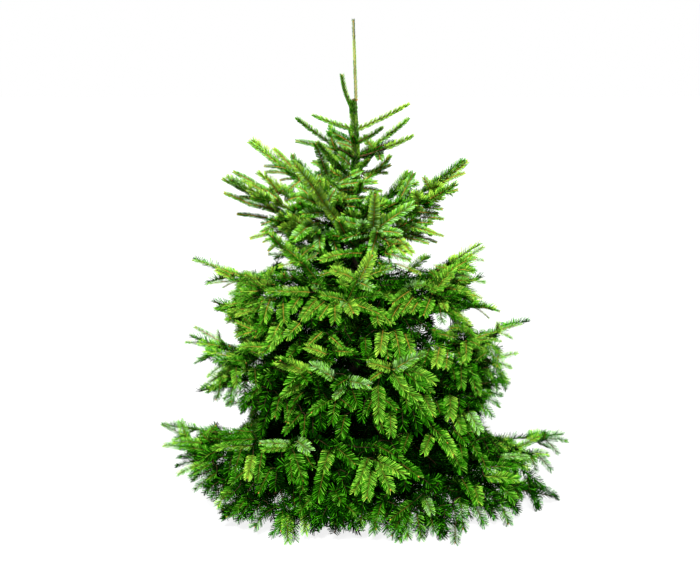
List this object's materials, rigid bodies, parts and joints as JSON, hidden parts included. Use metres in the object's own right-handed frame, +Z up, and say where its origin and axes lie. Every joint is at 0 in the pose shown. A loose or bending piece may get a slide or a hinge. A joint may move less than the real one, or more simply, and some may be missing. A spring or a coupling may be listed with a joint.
{
  "type": "christmas tree",
  "caption": "Cut fir tree with tiered boughs that sweep the floor, a bare leading shoot and a plain wooden cross stand; undecorated.",
  "frame": {"origin": "centre of the stand's flat underside, on the floor under the trunk", "axes": "+Z up along the trunk; the front of the tree faces -Y, and its right side is +X"},
  "size_m": [1.4632, 1.1113, 1.5921],
  "materials": {
    "planed_wood": "planed pale softwood, unvarnished",
    "bark": "grey-brown bark with resin blisters and branch scars",
    "twig_bark": "orange-brown young bark",
    "needles": "waxy mid-green needles, paler and bluish underneath"
  },
  "bodies": {
    "root": {"stand_board_across": "planed_wood", "stand_board_along": "planed_wood", "stand_brace_1": "planed_wood", "stand_brace_2": "planed_wood", "stand_brace_3": "planed_wood", "stand_brace_4": "planed_wood", "trunk": "bark", "shoot_beside_leader": "twig_bark", "bough_lowest_1": "twig_bark", "needles_lowest_1": "needles", "bough_lowest_2": "twig_bark", "needles_lowest_2": "needles", "bough_lowest_3": "twig_bark", "needles_lowest_3": "needles", "bough_lowest_4": "twig_bark", "needles_lowest_4": "needles", "bough_lowest_5": "twig_bark", "needles_lowest_5": "needles", "bough_lowest_6": "twig_bark", "needles_lowest_6": "needles", "bough_lowest_7": "twig_bark", "needles_lowest_7": "needles", "bough_lowest_8": "twig_bark", "needles_lowest_8": "needles", "bough_second_1": "twig_bark", "needles_second_1": "needles", "bough_second_2": "twig_bark", "needles_second_2": "needles", "bough_second_3": "twig_bark", "needles_second_3": "needles", "bough_second_4": "twig_bark", "needles_second_4": "needles", "bough_second_5": "twig_bark", "needles_second_5": "needles", "bough_second_6": "twig_bark", "needles_second_6": "needles", "bough_second_7": "twig_bark", "needles_second_7": "needles", "needles_third_1": "needles", "needles_third_2": "needles", "needles_third_3": "needles", "needles_third_4": "needles", "needles_third_5": "needles", "needles_third_6": "needles", "needles_third_7": "needles", "needles_fourth_1": "needles", "needles_fourth_2": "needles", "needles_fourth_3": "needles", "needles_fourth_4": "needles", "needles_fourth_5": "needles", "needles_fourth_6": "needles", "needles_fourth_7": "needles", "needles_fifth_1": "needles", "needles_fifth_2": "needles", "needles_fifth_3": "needles", "needles_fifth_4": "needles", "needles_fifth_5": "needles", "needles_top_1": "needles", "needles_top_2": "needles", "needles_top_3": "needles"}
  },
  "joints": []
}
